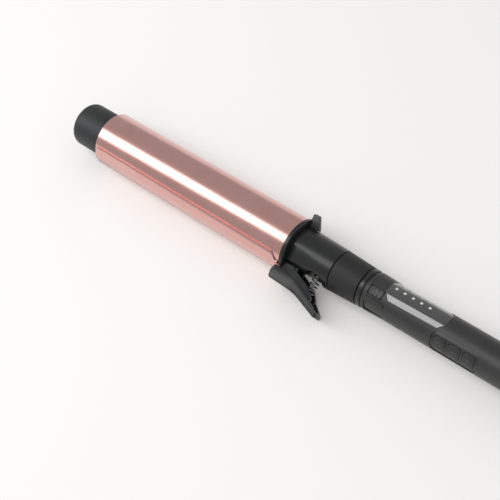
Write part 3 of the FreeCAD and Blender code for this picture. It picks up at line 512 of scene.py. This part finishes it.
def makeRing(name, x, k):
    # open ring of the power sign
    bpy.ops.mesh.primitive_torus_add(major_radius=k["size"] * 0.42 * mm,
                                     minor_radius=k["line"] * 0.5 * mm,
                                     major_segments=40, minor_segments=8, location=(x * mm, 0, 0))
    ring = newPiece(name)
    bakePlace(ring)
    pickFaces(ring, lambda face: face.center.y > k["size"] * 0.24 * mm
              and abs(face.center.x - x * mm) < k["size"] * 0.24 * mm)
    bpy.ops.mesh.delete(type="FACE")
    pickRims()
    bpy.ops.mesh.fill_holes(sides=0)
    leaveEdit()
    for vertex in ring.data.vertices:
        vertex.co.z *= 0.35
    return ring


def joinPieces(main, others):
    pick(main)
    for other in others:
        other.select_set(True)
    bpy.ops.object.join()
    return main


def makeSymbols(k):
    first, middle, last = k["middle"] - k["pitch"], k["middle"], k["middle"] + k["pitch"]
    ring = makeRing("powerSign", first, k)
    stroke = makeBar("powerStroke", first, k["line"], k["size"] * 0.5, k["thick"])
    for vertex in stroke.data.vertices:
        vertex.co.y += k["size"] * 0.28 * mm
    power = joinPieces(ring, [stroke])
    minus = makeBar("coolerSign", middle, k["size"], k["line"], k["thick"])
    across = makeBar("hotterSign", last, k["size"], k["line"], k["thick"])
    upright = makeBar("hotterUpright", last, k["line"], k["size"], k["thick"])
    plus = joinPieces(across, [upright])
    for piece, body in ((power, "power_button"), (minus, "cooler_button"), (plus, "hotter_button")):
        wrapOnHandle(piece, k["crown"] + k["lift"], k["angle"])
        finish(piece, body, symbolInk, 40)


makeSymbols(keypad)
print("symbols made")

# floor, light and camera

studio = {"floor": "#f3f2f0", "floorPale": "#f7f6f4", "floorLift": 0.16, "world": 0.5,
          "keyFrom": (-0.45, -0.33, 0.826), "keyFar": 1.2, "keyWide": 0.58, "keyLong": 2.2,
          "keySkew": 10.0, "keyPower": 9.5}
viewpoint = {"fromIron": (0.346, -0.266656, 0.659891), "turn": (32.4, 11.04, 39.52),
             "lens": 86.9, "sensor": 36.0}


def makeFloor(s):
    bpy.ops.mesh.primitive_plane_add(size=6, location=(0, 0, 0))
    floor = newPiece("studioFloor")
    material, tree, shader = startMaterial("paintedFloor", {
        "Roughness": 0.9, "Specular IOR Level": 0.1})
    place = addNode(tree, "ShaderNodeTexCoord")
    cloud = addNode(tree, "ShaderNodeTexNoise", {}, {
        "Vector": (place, "Object"), "Scale": 3.0, "Detail": 3.0})
    ramp = addNode(tree, "ShaderNodeValToRGB", {}, {"Fac": (cloud, "Fac")})
    ramp.color_ramp.elements[0].color = tint(s["floor"])
    ramp.color_ramp.elements[1].color = tint(s["floorPale"])
    tree.links.new(ramp.outputs["Color"], shader.inputs["Base Color"])
    # seen straight on, the floor is lifted a little towards white; its shadows stay
    rays = addNode(tree, "ShaderNodeLightPath")
    seen = addNode(tree, "ShaderNodeMath", {"operation": "ADD", "use_clamp": True}, {
        0: (rays, "Is Camera Ray"), 1: (rays, "Is Glossy Ray")})
    alsoThrough = addNode(tree, "ShaderNodeMath", {"operation": "ADD", "use_clamp": True}, {
        0: (seen, "Value"), 1: (rays, "Is Transmission Ray")})
    glow = addNode(tree, "ShaderNodeEmission", {}, {
        "Color": tint(s["floor"]), "Strength": s["floorLift"]})
    lifted = addNode(tree, "ShaderNodeAddShader", {}, {0: (shader, "BSDF"), 1: (glow, "Emission")})
    mixed = addNode(tree, "ShaderNodeMixShader", {}, {
        0: (alsoThrough, "Value"), 1: (shader, "BSDF"), 2: (lifted, "Shader")})
    tree.links.new(mixed.outputs["Shader"], tree.nodes["Material Output"].inputs["Surface"])
    floor.data.materials.append(material)


def makeKeyLight(s):
    data = bpy.data.lights.new("softbox", "AREA")
    data.shape = "RECTANGLE"
    data.size = s["keyLong"]
    data.size_y = s["keyWide"]
    data.energy = s["keyPower"]
    lamp = bpy.data.objects.new("softbox", data)
    away = Vector(s["keyFrom"]).normalized()
    side = Vector((1, 0, 0))
    across = away.cross(side).normalized()
    side = across.cross(away)
    turn = Matrix((side, across, away)).transposed().to_4x4()
    skew = Matrix.Rotation(math.radians(s["keySkew"]), 4, "Z")
    lamp.matrix_world = Matrix.Translation(away * s["keyFar"]) @ turn @ skew
    bpy.context.scene.collection.objects.link(lamp)


def makeWorld(s):
    world = bpy.data.worlds.new("studio")
    bpy.context.scene.world = world
    world.use_nodes = True
    world.node_tree.nodes["Background"].inputs["Color"].default_value = (1, 1, 1, 1)
    world.node_tree.nodes["Background"].inputs["Strength"].default_value = s["world"]


def makeCamera(v):
    data = bpy.data.cameras.new("camera")
    data.lens = v["lens"]
    data.sensor_width = v["sensor"]
    data.clip_start = 0.01
    camera = bpy.data.objects.new("camera", data)
    camera.location = ironStart + Vector(v["fromIron"])
    camera.rotation_euler = [math.radians(a) for a in v["turn"]]
    bpy.context.scene.collection.objects.link(camera)
    bpy.context.scene.camera = camera


makeFloor(studio)
makeKeyLight(studio)
makeWorld(studio)
makeCamera(viewpoint)
bpy.context.scene.view_settings.view_transform = "Standard"
print("studio ready")
